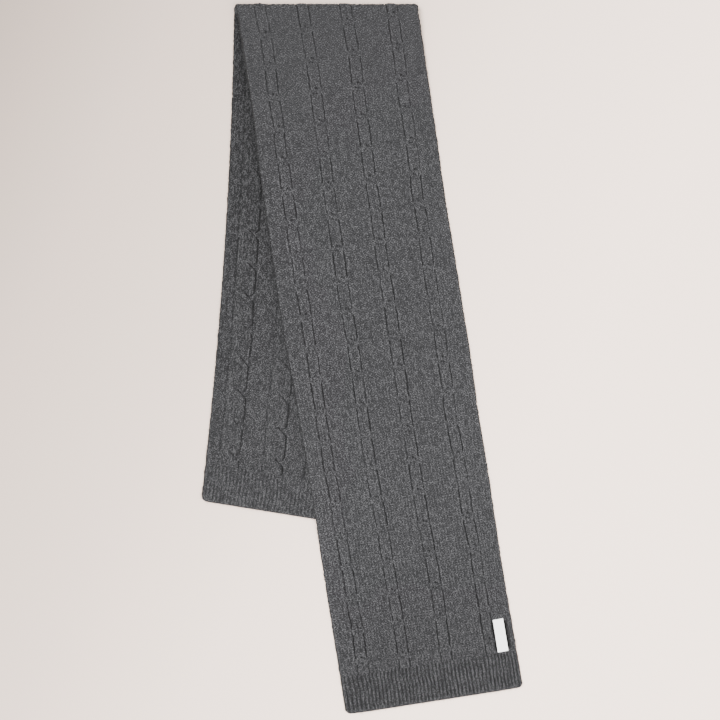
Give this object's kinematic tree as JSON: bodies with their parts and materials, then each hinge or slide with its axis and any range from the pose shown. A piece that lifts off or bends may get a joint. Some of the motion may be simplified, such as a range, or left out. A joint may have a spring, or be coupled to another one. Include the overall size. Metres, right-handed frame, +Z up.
{
  "type": "knit scarf",
  "caption": "Long cable-knit wool scarf with ribbed ends and a small bare sewn label, folded once across its width and laid flat.",
  "frame": {"origin": "middle of the laid scarf's outline, on the surface it lies on", "axes": "+X to the right and +Y towards the fold as seen from above, +Z up"},
  "size_m": [0.4838, 1.0694, 0.0123],
  "materials": {
    "wool": "heathered grey lambswool knit, matt",
    "label_cloth": "fine plain woven tape, off-white"
  },
  "bodies": {
    "root": {"under_panel": "wool", "under_rib_hem": "wool", "fold": "wool", "upper_panel": "wool", "upper_rib_hem": "wool", "label": "label_cloth"}
  },
  "joints": []
}
